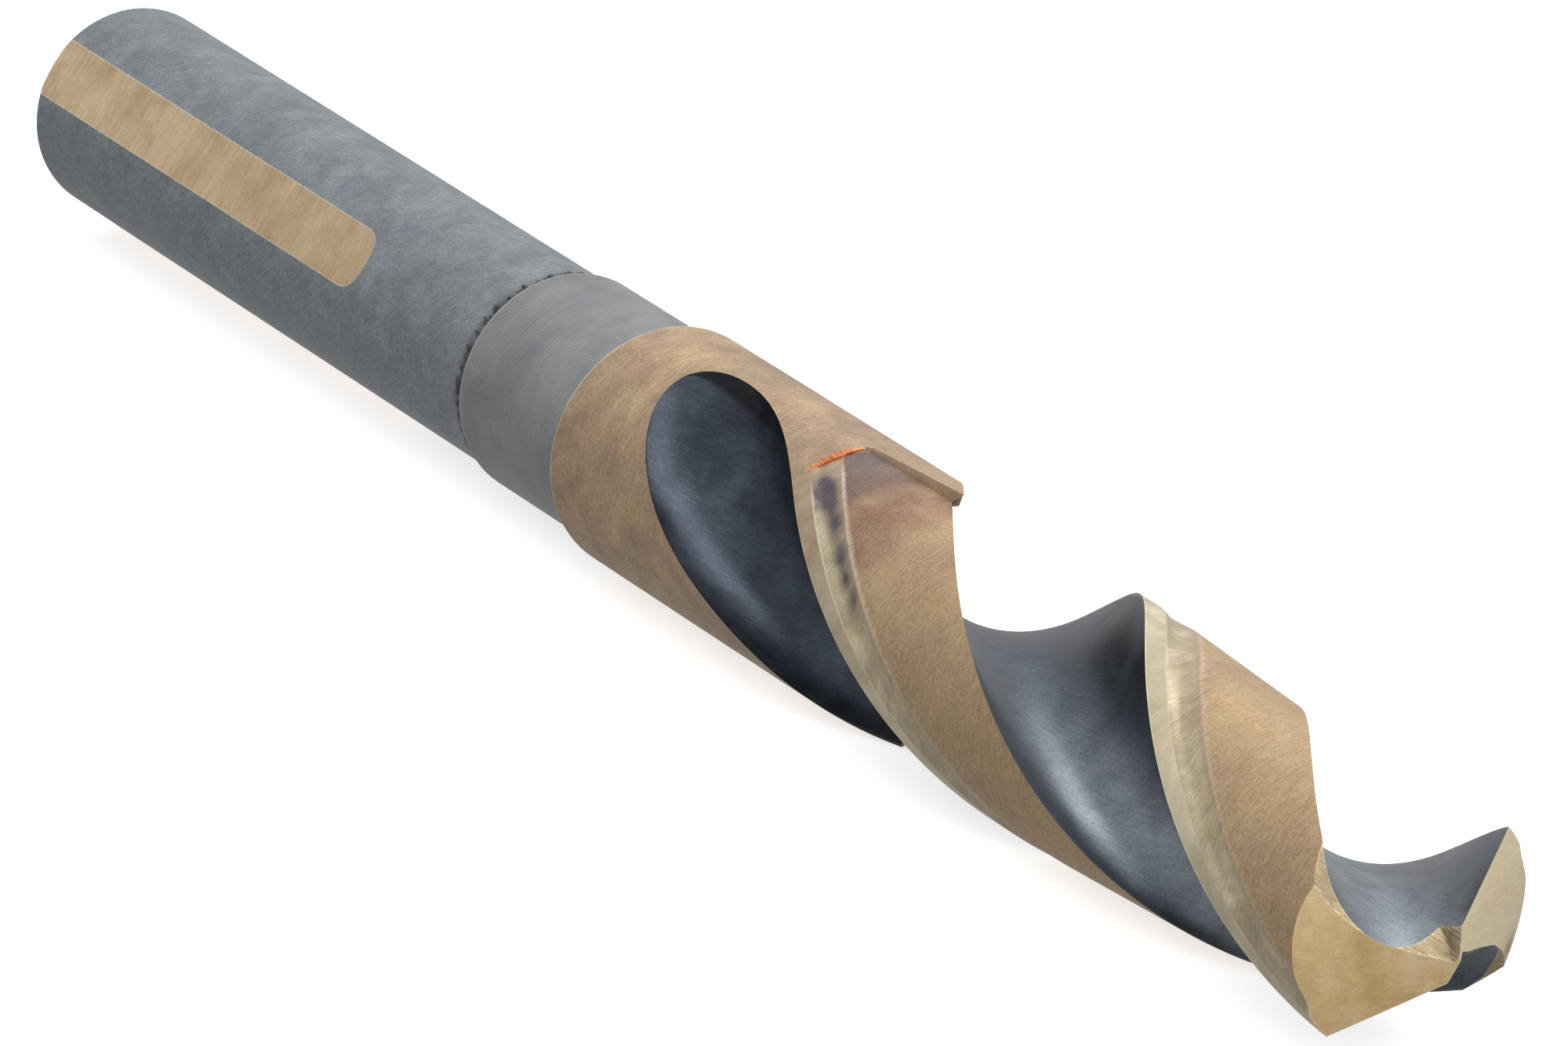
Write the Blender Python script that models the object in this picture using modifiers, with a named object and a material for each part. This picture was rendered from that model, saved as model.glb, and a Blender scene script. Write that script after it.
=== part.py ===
"""Reduced-shank twist drill: a plain shank with three chuck flats, friction-welded
to a two-flute body with a turned neck, body clearance, margins and a split point.
The axis is world X: x = 0 at the shank's end face, the point towards +X."""

import math

import bmesh
import bpy
from mathutils import Matrix

MM = 0.001

# Shank
SHANK_R = 6.35
SHANK_END_X = 54.70
SHANK_CHAMFER = 0.80
SHANK_TURNS = 96
FLAT_DEPTH_R = 6.066
FLAT_LENGTH = 38.9
FLAT_RUNOUT_R = 6.4
FLAT_HALF_W = 3.2
FLAT_TOP_R = 8.0
FLAT_ANGLES = (60.0, 180.0, 300.0)

# Neck and body blank
NECK_START_X = 55.00
NECK_R = 6.715
NECK_EDGE = 0.15
BODY_START_X = 67.00
BODY_R = 7.342
BODY_EDGE = 0.20
BLANK_END_X = 154.50
BODY_TURNS = 120

# Helix: right-hand, two starts
TURN_PER_MM = math.radians(4.668)
MARGIN_AT_ZERO = math.radians(342.94)
STARTS = (0.0, math.pi)

# Flute section, angles measured from the margin's leading edge
WEB_HALF = 1.07
LIP_SLOPE = math.tan(math.radians(31.0))
LIP_WALL_IN_R = 1.35
HEEL_R = 6.76
HEEL_ANGLE_START = math.radians(94.6)
HEEL_ANGLE_END = math.radians(101.0)
HEEL_HANDLES = (3.80, 1.90)
HEEL_RISE = math.radians(49.0)
CUTTER_OUT_R = 9.6
FLUTE_START_X = 72.0
FLUTE_FULL_X = 90.0
FLUTE_END_X = 157.0
CUTTER_WHEEL_R = 31.6
LIFT_ANGLE = math.radians(60.0)
HELIX_COS = math.cos(math.radians(30.0))

# Body clearance behind each margin
MARGIN_ANGLE = math.radians(10.5)
GUTTER_ANGLE = math.radians(17.0)
GUTTER_DEPTH = 0.20
LAND_ANGLE = math.radians(27.5)
LAND_DEPTH = 0.12
HEEL_DEPTH = 0.63
HEEL_DEPTH_ANGLE = math.radians(84.0)
CLEARANCE_START_X = 89.20
CLEARANCE_FULL_X = 101.80
CLEARANCE_START_ANGLE = math.radians(40.0)
CLEARANCE_END_ANGLE = math.radians(108.0)
CLEARANCE_RAMP = 0.06

# Point
LIP_CORNER_X = 148.62
FLANK_LINEAR = 0.080
FLANK_CURVE = 0.053
GASH_HEEL = (3.09, -6.10, 147.85)
GASH_INNER = (0.42, -0.42, 152.15)
GASH_OUTER = (0.05, -6.85, 145.60)
NOTCH_INNER = (0.0, -0.25)
NOTCH_OUTER = (-1.16, -1.07)
TOOL_REACH = 12.0


def clear_scene():
    for old in list(bpy.data.objects):
        bpy.data.objects.remove(old, do_unlink=True)
    for group in list(bpy.data.collections):
        bpy.data.collections.remove(group)


def new_collection(name):
    group = bpy.data.collections.new(name)
    bpy.context.scene.collection.children.link(group)
    return group


def material(name, colour, roughness, metallic):
    mat = bpy.data.materials.new(name)
    mat.use_nodes = True
    shader = mat.node_tree.nodes["Principled BSDF"]
    shader.inputs["Base Color"].default_value = (*colour, 1.0)
    shader.inputs["Roughness"].default_value = roughness
    shader.inputs["Metallic"].default_value = metallic
    return mat


def add_object(name, points, faces, group):
    mesh = bpy.data.meshes.new(name)
    mesh.from_pydata([tuple(MM * c for c in p) for p in points], [], faces)
    mesh.update()
    obj = bpy.data.objects.new(name, mesh)
    group.objects.link(obj)
    return obj


def face_out(obj):
    """Turns every face of a closed mesh to face outwards."""
    bm = bmesh.new()
    bm.from_mesh(obj.data)
    bmesh.ops.recalc_face_normals(bm, faces=bm.faces)
    bm.to_mesh(obj.data)
    bm.free()


def make_cutter(obj):
    obj.hide_render = True
    obj.display_type = "WIRE"
    face_out(obj)


def polar(x, radius, angle):
    """A point at this radius, its angle turning from +Z towards -Y."""
    return (x, -radius * math.sin(angle), radius * math.cos(angle))


def turned(name, profile, steps, group):
    """A solid of revolution about X from (x, radius) points, end to end."""
    points = [(x, 0.0, r) for x, r in profile]
    obj = bpy.data.objects.new(name, bpy.data.meshes.new(name))
    edges = [(i, i + 1) for i in range(len(points) - 1)]
    obj.data.from_pydata([tuple(MM * c for c in p) for p in points], edges, [])
    group.objects.link(obj)
    screw = obj.modifiers.new("turn", "SCREW")
    screw.axis = "X"
    screw.angle = 2 * math.pi
    screw.steps = steps
    screw.render_steps = steps
    screw.use_merge_vertices = True
    screw.merge_threshold = 0.00001
    screw.use_smooth_shade = True
    screw.use_normal_calculate = True
    return obj


def subtract(obj, cutter):
    cut = obj.modifiers.new(cutter.name, "BOOLEAN")
    cut.operation = "DIFFERENCE"
    cut.solver = "EXACT"
    cut.object = cutter


def tube(name, sections, group):
    """A closed loft through rings of equally many points, with flat end caps."""
    count = len(sections[0])
    points = [p for ring in sections for p in ring]
    faces = []
    for i in range(len(sections) - 1):
        for j in range(count):
            a = i * count + j
            b = i * count + (j + 1) % count
            faces.append((a, b, b + count, a + count))
    faces.append(tuple(range(count)))
    last = (len(sections) - 1) * count
    faces.append(tuple(last + j for j in reversed(range(count))))
    obj = add_object(name, points, faces, group)
    make_cutter(obj)
    return obj


def flat_cutter(name, angle, group):
    """A slab whose floor is the flat and whose front end runs out on an arc."""
    rise = FLAT_TOP_R - FLAT_DEPTH_R
    sweep = math.acos(1.0 - rise / FLAT_RUNOUT_R)
    outline = [(-2.0, FLAT_TOP_R), (-2.0, FLAT_DEPTH_R)]
    steps = 16
    for i in range(steps + 1):
        turn = sweep * i / steps
        x = FLAT_LENGTH + FLAT_RUNOUT_R * math.sin(turn)
        outline.append((x, FLAT_DEPTH_R + FLAT_RUNOUT_R * (1.0 - math.cos(turn))))
    sides = [[(x, side, r) for x, r in outline] for side in (-FLAT_HALF_W, FLAT_HALF_W)]
    obj = tube(name, sides, group)
    obj.data.transform(Matrix.Rotation(math.radians(angle), 4, "X"))
    return obj


def lip_wall(radius):
    """Angle of the flute's cutting side at this radius, which keeps the lip straight."""
    run = math.sqrt(radius**2 - WEB_HALF**2)
    full = math.sqrt(BODY_R**2 - WEB_HALF**2)
    ahead = math.asin(WEB_HALF / radius) - math.asin(WEB_HALF / BODY_R)
    return ahead - TURN_PER_MM * LIP_SLOPE * (full - run)


def bezier(start, end, leave, arrive, handles, steps):
    """Points after the start of a curve that leaves and arrives at these angles."""
    near = (start[0] + handles[0] * math.cos(leave), start[1] + handles[0] * math.sin(leave))
    far = (end[0] - handles[1] * math.cos(arrive), end[1] - handles[1] * math.sin(arrive))
    points = []
    for i in range(1, steps + 1):
        t = i / steps
        weights = ((1 - t) ** 3, 3 * t * (1 - t) ** 2, 3 * t**2 * (1 - t), t**3)
        corners = (start, near, far, end)
        points.append(tuple(sum(w * c[k] for w, c in zip(weights, corners)) for k in (0, 1)))
    return points


def heel_angle(x):
    """The flute widens towards the point, so its heel side leads the helix a little."""
    share = max(0.0, (x - FLUTE_FULL_X) / (LIP_CORNER_X - FLUTE_FULL_X))
    return HEEL_ANGLE_START + (HEEL_ANGLE_END - HEEL_ANGLE_START) * share


def flute_curve(heel_at):
    """The flute across the axis as (radial, ahead) points, cutting side to heel."""
    curve = [(CUTTER_OUT_R, 0.0)]
    wall_steps, floor_steps = 12, 16
    for i in range(wall_steps + 1):
        inward = math.sin(0.5 * math.pi * i / wall_steps)
        radius = BODY_R + (LIP_WALL_IN_R - BODY_R) * inward
        angle = lip_wall(radius)
        curve.append((radius * math.cos(angle), radius * math.sin(angle)))
    start, before = curve[-1], curve[-2]
    leave = math.atan2(start[1] - before[1], start[0] - before[0])
    heel = (HEEL_R * math.cos(heel_at), HEEL_R * math.sin(heel_at))
    curve += bezier(start, heel, leave, HEEL_RISE, HEEL_HANDLES, floor_steps)
    outward = heel[0] * math.cos(HEEL_RISE) + heel[1] * math.sin(HEEL_RISE)
    reach = math.sqrt(outward**2 + CUTTER_OUT_R**2 - HEEL_R**2) - outward
    curve.append((heel[0] + reach * math.cos(HEEL_RISE), heel[1] + reach * math.sin(HEEL_RISE)))
    end = math.atan2(curve[-1][1], curve[-1][0])
    outer_steps = 4
    for i in range(1, outer_steps):
        angle = end * (1.0 - i / outer_steps)
        curve.append((CUTTER_OUT_R * math.cos(angle), CUTTER_OUT_R * math.sin(angle)))
    return curve


def cutter_lift(x):
    """How far the round milling cutter has left the work at this x."""
    back = max(0.0, FLUTE_FULL_X - x) / HELIX_COS
    return CUTTER_WHEEL_R - math.sqrt(CUTTER_WHEEL_R**2 - back**2)


def flute_cutter(name, start, group):
    rings = []
    runout_steps, full_steps = 16, 40
    stations = [
        FLUTE_START_X + (FLUTE_FULL_X - FLUTE_START_X) * i / runout_steps
        for i in range(runout_steps)
    ]
    stations += [
        FLUTE_FULL_X + (FLUTE_END_X - FLUTE_FULL_X) * i / full_steps
        for i in range(full_steps + 1)
    ]
    for x in stations:
        lift = cutter_lift(x)
        turn = start + MARGIN_AT_ZERO + TURN_PER_MM * x
        ring = []
        for radial, ahead in flute_curve(heel_angle(x)):
            u = radial + lift * math.cos(LIFT_ANGLE)
            v = ahead + lift * math.sin(LIFT_ANGLE)
            ring.append(polar(x, math.hypot(u, v), turn + math.atan2(v, u)))
        rings.append(ring)
    return tube(name, rings, group)


def clearance_depth(angle):
    """Depth of the relieved land below the margin, this far behind the margin's edge."""
    if angle < GUTTER_ANGLE:
        share = (angle - MARGIN_ANGLE) / (GUTTER_ANGLE - MARGIN_ANGLE)
        return GUTTER_DEPTH * math.sin(0.5 * math.pi * share)
    if angle < LAND_ANGLE:
        share = (angle - GUTTER_ANGLE) / (LAND_ANGLE - GUTTER_ANGLE)
        return GUTTER_DEPTH + (LAND_DEPTH - GUTTER_DEPTH) * share
    share = (angle - LAND_ANGLE) / (HEEL_DEPTH_ANGLE - LAND_ANGLE)
    return LAND_DEPTH + (HEEL_DEPTH - LAND_DEPTH) * share


def clearance_cutter(name, start, group):
    shares = (0.0, 0.03, 0.075, 0.13, 0.20, 0.32, 0.48, 0.66, 0.83, 0.93, 1.0)
    slant_steps, full_steps = 6, 34
    stations = [
        CLEARANCE_START_X + (CLEARANCE_FULL_X - CLEARANCE_START_X) * i / slant_steps
        for i in range(slant_steps)
    ]
    stations += [
        CLEARANCE_FULL_X + (FLUTE_END_X - CLEARANCE_FULL_X) * i / full_steps
        for i in range(full_steps + 1)
    ]
    rings = []
    for x in stations:
        grown = min(1.0, (x - CLEARANCE_START_X) / (CLEARANCE_FULL_X - CLEARANCE_START_X))
        far = CLEARANCE_START_ANGLE + (CLEARANCE_END_ANGLE - CLEARANCE_START_ANGLE) * grown
        turn = start + MARGIN_AT_ZERO + TURN_PER_MM * x
        angles = [MARGIN_ANGLE + (far - MARGIN_ANGLE) * share for share in shares]
        floor = [BODY_R - clearance_depth(a) for a in angles]
        if grown < 1.0:
            floor[-1] = BODY_R + CLEARANCE_RAMP
        ring = [polar(x, r, turn - a) for r, a in zip(floor, angles)]
        ring += [polar(x, CUTTER_OUT_R, turn - a) for a in reversed(angles)]
        rings.append(ring)
    return tube(name, rings, group)


def lip_frame(start):
    """Angle of the line through the axis that runs parallel to this side's lip."""
    corner = start + MARGIN_AT_ZERO + TURN_PER_MM * LIP_CORNER_X
    return corner - math.asin(WEB_HALF / BODY_R)


def on_lip_frame(x, along, ahead, turn):
    return polar(x, math.hypot(along, ahead), turn + math.atan2(ahead, along))


def flank_cutter(name, start, group):
    """All that lies in front of one flank: straight along the lip, curved behind it."""
    turn = lip_frame(start)
    full = math.sqrt(BODY_R**2 - WEB_HALF**2)
    sides = []
    steps = 22
    for along in (-TOOL_REACH, TOOL_REACH):
        ring = []
        for i in range(steps + 1):
            ahead = -TOOL_REACH + 2 * TOOL_REACH * i / steps
            behind = WEB_HALF - ahead
            drop = FLANK_LINEAR * behind + FLANK_CURVE * behind**2
            x = LIP_CORNER_X + (full - along) * LIP_SLOPE - drop
            ring.append(on_lip_frame(x, along, ahead, turn))
        top = LIP_CORNER_X + 2.0 * TOOL_REACH
        ring.append(on_lip_frame(top, along, TOOL_REACH, turn))
        ring.append(on_lip_frame(top, along, -TOOL_REACH, turn))
        sides.append(ring)
    return tube(name, sides, group)


def gash_cutter(name, start, group):
    """The wedge ground out across the heel and up to the wall that notches the other lip."""
    turn = lip_frame(start)
    (s0, q0, x0), (s1, q1, x1), (s2, q2, x2) = GASH_HEEL, GASH_INNER, GASH_OUTER
    ds1, dq1, dx1 = s1 - s0, q1 - q0, x1 - x0
    ds2, dq2, dx2 = s2 - s0, q2 - q0, x2 - x0
    det = ds1 * dq2 - ds2 * dq1
    slope_s = (dx1 * dq2 - dx2 * dq1) / det
    slope_q = (ds1 * dx2 - ds2 * dx1) / det
    run_s, run_q = NOTCH_OUTER[0] - NOTCH_INNER[0], NOTCH_OUTER[1] - NOTCH_INNER[1]
    length = math.hypot(run_s, run_q)
    run_s, run_q = run_s / length, run_q / length
    top = LIP_CORNER_X + 2.0 * TOOL_REACH
    sides = []
    for reach in (-TOOL_REACH, TOOL_REACH):
        floor, roof = [], []
        for away in (0.0, 2.0 * TOOL_REACH):
            along = NOTCH_INNER[0] + run_s * reach - run_q * away
            ahead = NOTCH_INNER[1] + run_q * reach + run_s * away
            x = x0 + slope_s * (along - s0) + slope_q * (ahead - q0)
            floor.append(on_lip_frame(x, along, ahead, turn))
            roof.append(on_lip_frame(top, along, ahead, turn))
        sides.append(floor + roof[::-1])
    return tube(name, sides, group)


def build_shank(group, cutters, mat):
    profile = [
        (0.0, 0.0),
        (0.0, SHANK_R - SHANK_CHAMFER),
        (SHANK_CHAMFER, SHANK_R),
        (SHANK_END_X, SHANK_R),
        (SHANK_END_X, 0.0),
    ]
    shank = turned("shank", profile, SHANK_TURNS, group)
    for i, angle in enumerate(FLAT_ANGLES):
        subtract(shank, flat_cutter(f"flat_cutter_{i + 1}", angle, cutters))
    shank.data.materials.append(mat)
    return shank


def build_body(group, cutters, mat):
    profile = [
        (NECK_START_X, 0.0),
        (NECK_START_X, NECK_R - NECK_EDGE),
        (NECK_START_X + NECK_EDGE, NECK_R),
        (BODY_START_X, NECK_R),
        (BODY_START_X, BODY_R - BODY_EDGE),
        (BODY_START_X + BODY_EDGE, BODY_R),
        (BLANK_END_X, BODY_R),
        (BLANK_END_X, 0.0),
    ]
    body = turned("fluted_body", profile, BODY_TURNS, group)
    for i, start in enumerate(STARTS):
        subtract(body, flute_cutter(f"flute_cutter_{i + 1}", start, cutters))
        subtract(body, clearance_cutter(f"clearance_cutter_{i + 1}", start, cutters))
        subtract(body, flank_cutter(f"flank_cutter_{i + 1}", start, cutters))
        subtract(body, gash_cutter(f"gash_cutter_{i + 1}", start, cutters))
    body.data.materials.append(mat)
    return body


clear_scene()
drill = new_collection("twist_drill")
cutting = new_collection("cutters")
cutting.hide_render = True
black_oxide = material("black_oxide_steel", (0.115, 0.125, 0.135), 0.50, 0.85)
gold_oxide = material("gold_oxide_high_speed_steel", (0.42, 0.32, 0.21), 0.42, 0.90)
build_shank(drill, cutting, black_oxide)
build_body(drill, cutting, gold_oxide)
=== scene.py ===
import bmesh
import bpy
import numpy as np
from mathutils import Matrix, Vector
from mathutils.geometry import delaunay_2d_cdt


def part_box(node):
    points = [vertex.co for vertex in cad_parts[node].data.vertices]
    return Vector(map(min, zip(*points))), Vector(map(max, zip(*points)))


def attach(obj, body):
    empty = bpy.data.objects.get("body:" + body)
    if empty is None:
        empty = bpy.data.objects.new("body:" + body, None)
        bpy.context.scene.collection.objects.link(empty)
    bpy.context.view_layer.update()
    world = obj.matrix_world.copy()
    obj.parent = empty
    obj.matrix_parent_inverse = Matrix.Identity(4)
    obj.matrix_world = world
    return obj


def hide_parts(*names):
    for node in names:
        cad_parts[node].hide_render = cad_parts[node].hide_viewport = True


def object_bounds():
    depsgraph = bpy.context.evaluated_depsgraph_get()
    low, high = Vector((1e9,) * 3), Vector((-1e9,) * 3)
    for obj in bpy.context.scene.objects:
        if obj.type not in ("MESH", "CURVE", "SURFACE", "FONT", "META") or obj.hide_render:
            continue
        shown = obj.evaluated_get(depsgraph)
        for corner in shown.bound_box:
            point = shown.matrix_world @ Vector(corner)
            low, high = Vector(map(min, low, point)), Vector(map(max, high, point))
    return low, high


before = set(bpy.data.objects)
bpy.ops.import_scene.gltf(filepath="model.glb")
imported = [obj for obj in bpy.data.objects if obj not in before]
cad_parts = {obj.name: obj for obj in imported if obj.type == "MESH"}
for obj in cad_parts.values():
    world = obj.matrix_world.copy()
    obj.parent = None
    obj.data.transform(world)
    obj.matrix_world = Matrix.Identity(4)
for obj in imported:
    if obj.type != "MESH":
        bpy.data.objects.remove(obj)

mm = 0.001
body = "root"  # the drill has no joints, so it is one body
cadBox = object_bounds()
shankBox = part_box("shank")
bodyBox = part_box("fluted_body")
print("frame loaded")


def deg(a):
    return np.radians(a)


def smooth(t):
    # 0 below 0, 1 above 1, and t*t*(3-2t) between
    t = np.clip(t, 0.0, 1.0)
    return t * t * (3.0 - 2.0 * t)


def bell(t, middle, spread):
    # exp(-((t - middle) / spread)^2)
    return np.exp(-((t - middle) / spread) ** 2)


def polar(x, r, a):
    # the point (x, -r sin a, r cos a): a turns from +Z towards -Y
    x, r, a = np.broadcast_arrays(x, r, a)
    return np.stack([x, -r * np.sin(a), r * np.cos(a)], -1)


def axesAt(right, up, back, place):
    # the matrix whose columns are three axes and a place
    m = np.eye(4)
    m[:3] = np.stack([right, up, back, place], 1)
    return Matrix(m.tolist())


def gridFaces(rows, cols):
    # quads of a grid of points in row order
    at = np.arange(rows * cols).reshape(rows, cols)
    return np.stack([at[:-1, :-1], at[:-1, 1:], at[1:, 1:], at[1:, :-1]], -1).reshape(-1, 4).tolist()


def gridUv(u, v):
    # per-corner coordinates of the same quads
    uv = np.stack(np.broadcast_arrays(u, v), -1)
    return np.stack([uv[:-1, :-1], uv[:-1, 1:], uv[1:, 1:], uv[1:, :-1]], 2).reshape(-1, 2)


def newPiece(name, points, faces, mats, uv, sharp, matIndex=None, attributes=None, merge=0.0005):
    # millimetre points into a mesh: points closer than merge become one, and edges of more than
    # sharp degrees stay crisp
    mesh = bpy.data.meshes.new(name)
    mesh.from_pydata(np.asarray(points, float) * mm, [], faces)
    for mat in mats:
        mesh.materials.append(mat)
    if matIndex is not None:
        mesh.polygons.foreach_set("material_index", np.asarray(matIndex, np.int32))
    mesh.uv_layers.new(name="across").data.foreach_set("uv", np.asarray(uv, np.float32).ravel())
    for key, values in (attributes or {}).items():
        layer = mesh.attributes.new(key, "FLOAT", "POINT")
        layer.data.foreach_set("value", np.asarray(values, np.float32).ravel())
    bm = bmesh.new()
    bm.from_mesh(mesh)
    bmesh.ops.remove_doubles(bm, verts=bm.verts, dist=merge * mm)
    bmesh.ops.dissolve_degenerate(bm, edges=bm.edges, dist=1e-7)
    bmesh.ops.recalc_face_normals(bm, faces=bm.faces)
    bm.to_mesh(mesh)
    bm.free()
    mesh.polygons.foreach_set("use_smooth", np.ones(len(mesh.polygons), bool))
    mesh.set_sharp_from_angle(angle=float(deg(sharp)))
    piece = bpy.data.objects.new(name, mesh)
    bpy.context.scene.collection.objects.link(piece)
    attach(piece, body)
    print(name, "made,", len(mesh.polygons), "faces")
    return piece


def linearColour(hexText):
    # sRGB hex to linear: ((c + 0.055) / 1.055) ** 2.4, straight part below 0.04045
    c = np.array([int(hexText[i:i + 2], 16) / 255 for i in (1, 3, 5)])
    c = np.where(c <= 0.04045, c / 12.92, ((c + 0.055) / 1.055) ** 2.4)
    return (*[float(v) for v in c], 1.0)


def fillRamp(ramp, stops):
    # each stop is a place and a colour, as hex or as one linear grey
    while len(ramp.elements) < len(stops):
        ramp.elements.new(0.5)
    for element, (place, colour) in zip(ramp.elements, stops):
        element.position = place
        element.color = linearColour(colour) if isinstance(colour, str) else (colour, colour, colour, 1)


def addNode(tree, kind, settings, links):
    # one node: settings are its properties (stops fill a ramp), links go to its sockets
    node = tree.nodes.new(kind)
    for name, value in settings.items():
        if name == "stops":
            fillRamp(node.color_ramp, value)
        else:
            setattr(node, name, value)
    for name, value in links.items():
        if isinstance(value, bpy.types.NodeSocket):
            tree.links.new(value, node.inputs[name])
        else:
            node.inputs[name].default_value = value
    return node


def mapRange(tree, value, span, low, high):
    # span[0]..span[1] of the value becomes low..high, and is held there beyond
    return addNode(tree, "ShaderNodeMapRange", {}, {
        "Value": value, "From Min": span[0], "From Max": span[1], "To Min": low, "To Max": high}).outputs[0]


def times(tree, a, b, clamp=False):
    return addNode(tree, "ShaderNodeMath", {"operation": "MULTIPLY", "use_clamp": clamp}, {
        0: a, 1: b}).outputs[0]


def mixColour(tree, share, under, over):
    return addNode(tree, "ShaderNodeMix", {"data_type": "RGBA"}, {
        0: share, 6: under, 7: linearColour(over)}).outputs[2]


# parts of a noise's values that a mapRange spreads out
mostOfNoise = (0.3, 0.7)
upperNoise = (0.48, 0.72)  # leaves scattered patches
patchNoise = (0.3, 0.6)
crestNoise = (0.35, 0.6)  # leaves the crests of the streaks


def oxideSteel(name, look):
    # oxide film on ground steel: blotches where the film is thicker or thinner, fine grain from the
    # grinding wheel, and streaks along the way the wheel or cutter went. The film dulls the metal, so
    # it reads as a soft satin colour and not as a mirror.
    mat = bpy.data.materials.new(name)
    mat.use_nodes = True
    tree = mat.node_tree
    shader = tree.nodes["Principled BSDF"]
    coords = addNode(tree, "ShaderNodeTexCoord", {}, {})
    place = coords.outputs["Object"]
    blotch = addNode(tree, "ShaderNodeTexNoise", {}, {
        "Vector": place, "Scale": 1000 / look["blotchMm"], "Detail": 5.0, "Roughness": 0.62,
        "Distortion": 0.6}).outputs["Fac"]
    base = addNode(tree, "ShaderNodeValToRGB", {"stops": look["colours"]}, {"Fac": blotch})
    patch = addNode(tree, "ShaderNodeTexNoise", {}, {
        "Vector": place, "Scale": 1000 / look["patchMm"], "Detail": 3.0, "Roughness": 0.55}).outputs["Fac"]
    patchShare = mapRange(tree, patch, upperNoise, 0.0, look["patchShare"])
    colour = mixColour(tree, patchShare, base.outputs["Color"], look["patch"])

    # streaks: noise on the surface's own millimetres, long one way and narrow the other
    turned = addNode(tree, "ShaderNodeMapping", {}, {
        "Vector": coords.outputs["UV"], "Rotation": (0, 0, float(deg(look["streakTurn"])))})
    streakPlace = addNode(tree, "ShaderNodeMapping", {}, {
        "Vector": turned.outputs[0],
        "Scale": (1 / look["streakMm"][0], 1 / look["streakMm"][1], 1.0)})
    streak = addNode(tree, "ShaderNodeTexNoise", {"noise_dimensions": "2D"}, {
        "Vector": streakPlace.outputs[0], "Scale": 1.0, "Detail": 4.0, "Roughness": 0.6}).outputs["Fac"]
    streakTone = mapRange(tree, streak, mostOfNoise, 1.0 - look["streakDepth"], 1.0 + look["streakDepth"])
    grain = addNode(tree, "ShaderNodeTexNoise", {}, {
        "Vector": place, "Scale": 1000 / look["grainMm"], "Detail": 2.0}).outputs["Fac"]
    grainTone = mapRange(tree, grain, mostOfNoise, 1.0 - look["grainDepth"], 1.0 + look["grainDepth"])
    tone = times(tree, streakTone, grainTone)
    if "ringMm" in look:  # the feed of the turning tool, one ring each turn
        rings = addNode(tree, "ShaderNodeTexWave", {"bands_direction": "X"}, {
            "Vector": coords.outputs["UV"], "Scale": 2 * np.pi / (20 * look["ringMm"]), "Distortion": 0.4})
        ringTone = mapRange(
            tree, rings.outputs["Fac"], (0.0, 1.0), 1.0 - look["ringDepth"], 1.0 + look["ringDepth"])
        tone = times(tree, tone, ringTone)

    for key, tint in look.get("tints", {}).items():  # heat and thin-film colours held in attributes, and in some looks painted shade, sheen and light
        share = addNode(tree, "ShaderNodeAttribute", {"attribute_name": key}, {}).outputs["Fac"]
        if "tintStreak" in look:  # the tint follows the wheel's lines
            share = times(tree, share, mapRange(tree, streak, crestNoise, look["tintStreak"], 1.25))
        broken = times(tree, share, mapRange(tree, patch, patchNoise, 0.6, 1.1), clamp=True)
        colour = mixColour(tree, broken, colour, tint)
    colour = addNode(tree, "ShaderNodeVectorMath", {"operation": "SCALE"}, {
        0: colour, "Scale": tone}).outputs[0]
    if "rim" in look:  # sharp edges drawn pale: the film worn off, with a painted highlight along them
        rim = addNode(tree, "ShaderNodeAttribute", {"attribute_name": "rim"}, {}).outputs["Fac"]
        worn = times(tree, rim, mapRange(tree, streak, crestNoise, 0.35, 1.0), clamp=True)
        colour = mixColour(tree, worn, colour, look["rim"])
    tree.links.new(colour, shader.inputs["Base Color"])
    tree.links.new(mapRange(tree, blotch, mostOfNoise, *look["rough"]), shader.inputs["Roughness"])
    shader.inputs["Metallic"].default_value = look["metallic"]
    height = addNode(tree, "ShaderNodeMath", {"operation": "MULTIPLY_ADD"}, {
        0: streak, 1: look["streakBump"], 2: times(tree, grain, look["grainBump"])})
    bump = addNode(tree, "ShaderNodeBump", {}, {
        "Height": height.outputs[0], "Distance": 0.00002, "Strength": 0.6})
    tree.links.new(bump.outputs[0], shader.inputs["Normal"])
    return mat


# steam-oxide black on the turned shank: a grey with a little blue in it
shankOxideLook = dict(
    colours=[(0.30, "#6d7377"), (0.50, "#7a8084"), (0.70, "#888d90")], blotchMm=3.2,
    patch="#656c72", patchMm=1.3, patchShare=0.45,
    streakTurn=38, streakMm=(1.2, 0.20), streakDepth=0.09, streakBump=0.3,
    grainMm=0.20, grainDepth=0.15, grainBump=0.35, rough=(0.40, 0.52), metallic=0.82,
    tints={"seam": "#26282b"}, rim="#c9c6bb")
# flats ground after blackening, then drawn to a straw colour: the wheel's lines cross the flat
flatGroundLook = dict(
    colours=[(0.32, "#ae9470"), (0.50, "#bda583"), (0.68, "#cab593")], blotchMm=5.0,
    patch="#a38562", patchMm=1.7, patchShare=0.38,
    streakTurn=0, streakMm=(0.15, 3.5), streakDepth=0.12, streakBump=0.8,
    grainMm=0.12, grainDepth=0.07, grainBump=0.3, rough=(0.40, 0.52), metallic=0.8, rim="#e4dcc6")
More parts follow.
